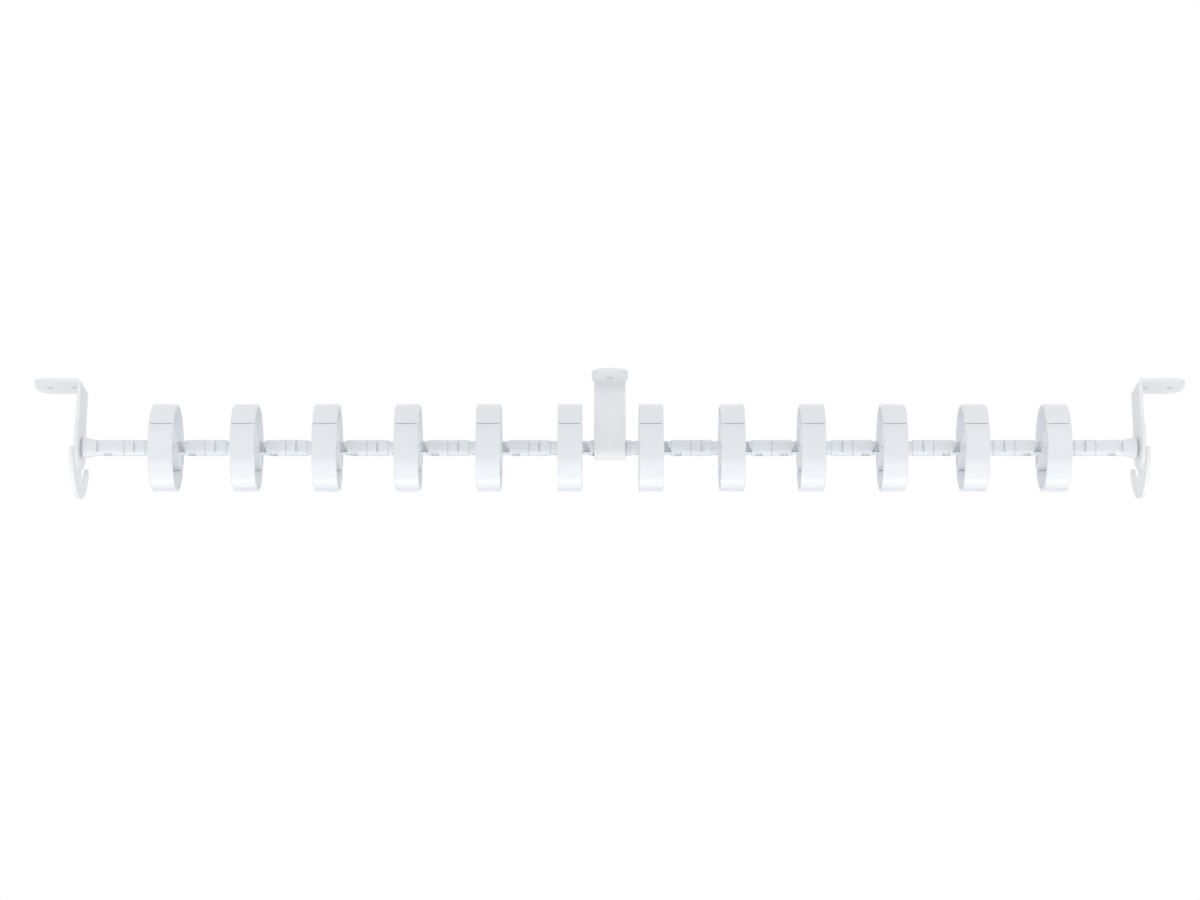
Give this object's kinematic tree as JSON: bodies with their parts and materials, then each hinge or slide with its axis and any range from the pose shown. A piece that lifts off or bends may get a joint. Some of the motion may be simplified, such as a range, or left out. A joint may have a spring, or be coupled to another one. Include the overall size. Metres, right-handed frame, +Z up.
{
  "type": "under-desk cable spine",
  "caption": "Horizontal under-desk cable manager: S-section ring links swivel on pins along a spine, held by hooked end brackets and a cradle bracket.",
  "frame": {"origin": "middle of the cradle bracket's screw hole, on the face that meets the desk", "axes": "+X along the spine to the right as seen from the front, +Y to the rear, +Z up into the desk"},
  "size_m": [0.8144, 0.0727, 0.083],
  "materials": {
    "white_steel": "satin powder coat",
    "white_plastic": "fine satin moulding",
    "pin_plastic": "smooth natural moulding",
    "zinc_screw": "zinc plated"
  },
  "bodies": {
    "brackets": {"left_bracket": "white_steel", "right_bracket": "white_steel", "middle_bracket": "white_steel", "left_end_piece": "white_plastic", "right_end_piece": "white_plastic", "left_end_screw": "zinc_screw", "right_end_screw": "zinc_screw", "left_end_pin": "pin_plastic", "right_end_pin": "pin_plastic"},
    "ring_01": {"link_01": "white_plastic", "swivel_pin_01": "pin_plastic"},
    "ring_02": {"link_02": "white_plastic", "swivel_pin_02": "pin_plastic"},
    "ring_03": {"link_03": "white_plastic", "swivel_pin_03": "pin_plastic"},
    "ring_04": {"link_04": "white_plastic", "swivel_pin_04": "pin_plastic"},
    "ring_05": {"link_05": "white_plastic", "swivel_pin_05": "pin_plastic"},
    "ring_06": {"link_06": "white_plastic", "swivel_pin_06": "pin_plastic"},
    "ring_07": {"link_07": "white_plastic", "swivel_pin_07": "pin_plastic"},
    "ring_08": {"link_08": "white_plastic", "swivel_pin_08": "pin_plastic"},
    "ring_09": {"link_09": "white_plastic"},
    "ring_10": {"link_10": "white_plastic", "swivel_pin_10": "pin_plastic"},
    "ring_11": {"link_11": "white_plastic", "swivel_pin_11": "pin_plastic"},
    "ring_12": {"link_12": "white_plastic", "swivel_pin_12": "pin_plastic"}
  },
  "joints": [
    {"name": "link_01_swivel", "type": "hinge", "parent": "brackets", "child": "ring_01", "pos_m": [-0.342, 0.02355, -0.047], "axis": [1, 0, 0], "continuous": true},
    {"name": "link_02_swivel", "type": "hinge", "parent": "ring_01", "child": "ring_02", "pos_m": [-0.285, 0.02355, -0.047], "axis": [1, 0, 0], "continuous": true},
    {"name": "link_03_swivel", "type": "hinge", "parent": "ring_02", "child": "ring_03", "pos_m": [-0.228, 0.02355, -0.047], "axis": [1, 0, 0], "continuous": true},
    {"name": "link_04_swivel", "type": "hinge", "parent": "ring_03", "child": "ring_04", "pos_m": [-0.171, 0.02355, -0.047], "axis": [1, 0, 0], "continuous": true},
    {"name": "link_05_swivel", "type": "hinge", "parent": "ring_04", "child": "ring_05", "pos_m": [-0.114, 0.02355, -0.047], "axis": [1, 0, 0], "continuous": true},
    {"name": "link_06_swivel", "type": "hinge", "parent": "ring_05", "child": "ring_06", "pos_m": [-0.057, 0.02355, -0.047], "axis": [1, 0, 0], "continuous": true},
    {"name": "link_07_swivel", "type": "hinge", "parent": "ring_06", "child": "ring_07", "pos_m": [0, 0.02355, -0.047], "axis": [1, 0, 0], "continuous": true},
    {"name": "link_08_swivel", "type": "hinge", "parent": "ring_07", "child": "ring_08", "pos_m": [0.057, 0.02355, -0.047], "axis": [1, 0, 0], "continuous": true},
    {"name": "link_12_swivel", "type": "hinge", "parent": "brackets", "child": "ring_12", "pos_m": [0.342, 0.02355, -0.047], "axis": [1, 0, 0], "continuous": true},
    {"name": "link_11_swivel", "type": "hinge", "parent": "ring_12", "child": "ring_11", "pos_m": [0.285, 0.02355, -0.047], "axis": [1, 0, 0], "continuous": true},
    {"name": "link_10_swivel", "type": "hinge", "parent": "ring_11", "child": "ring_10", "pos_m": [0.228, 0.02355, -0.047], "axis": [1, 0, 0], "continuous": true},
    {"name": "link_09_swivel", "type": "hinge", "parent": "ring_10", "child": "ring_09", "pos_m": [0.171, 0.02355, -0.047], "axis": [1, 0, 0], "continuous": true}
  ]
}
